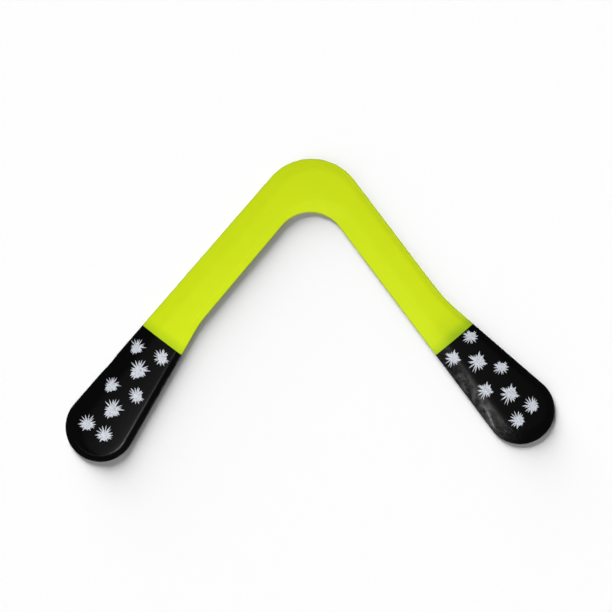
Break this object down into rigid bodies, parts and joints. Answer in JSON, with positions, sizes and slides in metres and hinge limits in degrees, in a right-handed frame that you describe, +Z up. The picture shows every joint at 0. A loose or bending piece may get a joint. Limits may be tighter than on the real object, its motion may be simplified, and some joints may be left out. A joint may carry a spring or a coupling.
{
  "type": "boomerang",
  "caption": "V-shaped returning boomerang with a flat underside, an airfoil top, flared round tips and a black cover over each tip.",
  "frame": {"origin": "under the middle of the outline, on the plane of the flat underside", "axes": "+Z up from the flat underside to the airfoil side, +Y from the tips towards the elbow along the line midway between the arms, +X to the right seen from above"},
  "size_m": [0.3494, 0.2212, 0.005],
  "materials": {
    "yellow_plastic": "fluorescent yellow, satin moulded",
    "black_plastic": "black, fine satin grain with light scuffs",
    "white_ink": "printed ink, matt, slightly streaky"
  },
  "bodies": {
    "root": {"blade": "yellow_plastic", "left_tip_cover": "black_plastic", "right_tip_cover": "black_plastic"}
  },
  "joints": []
}
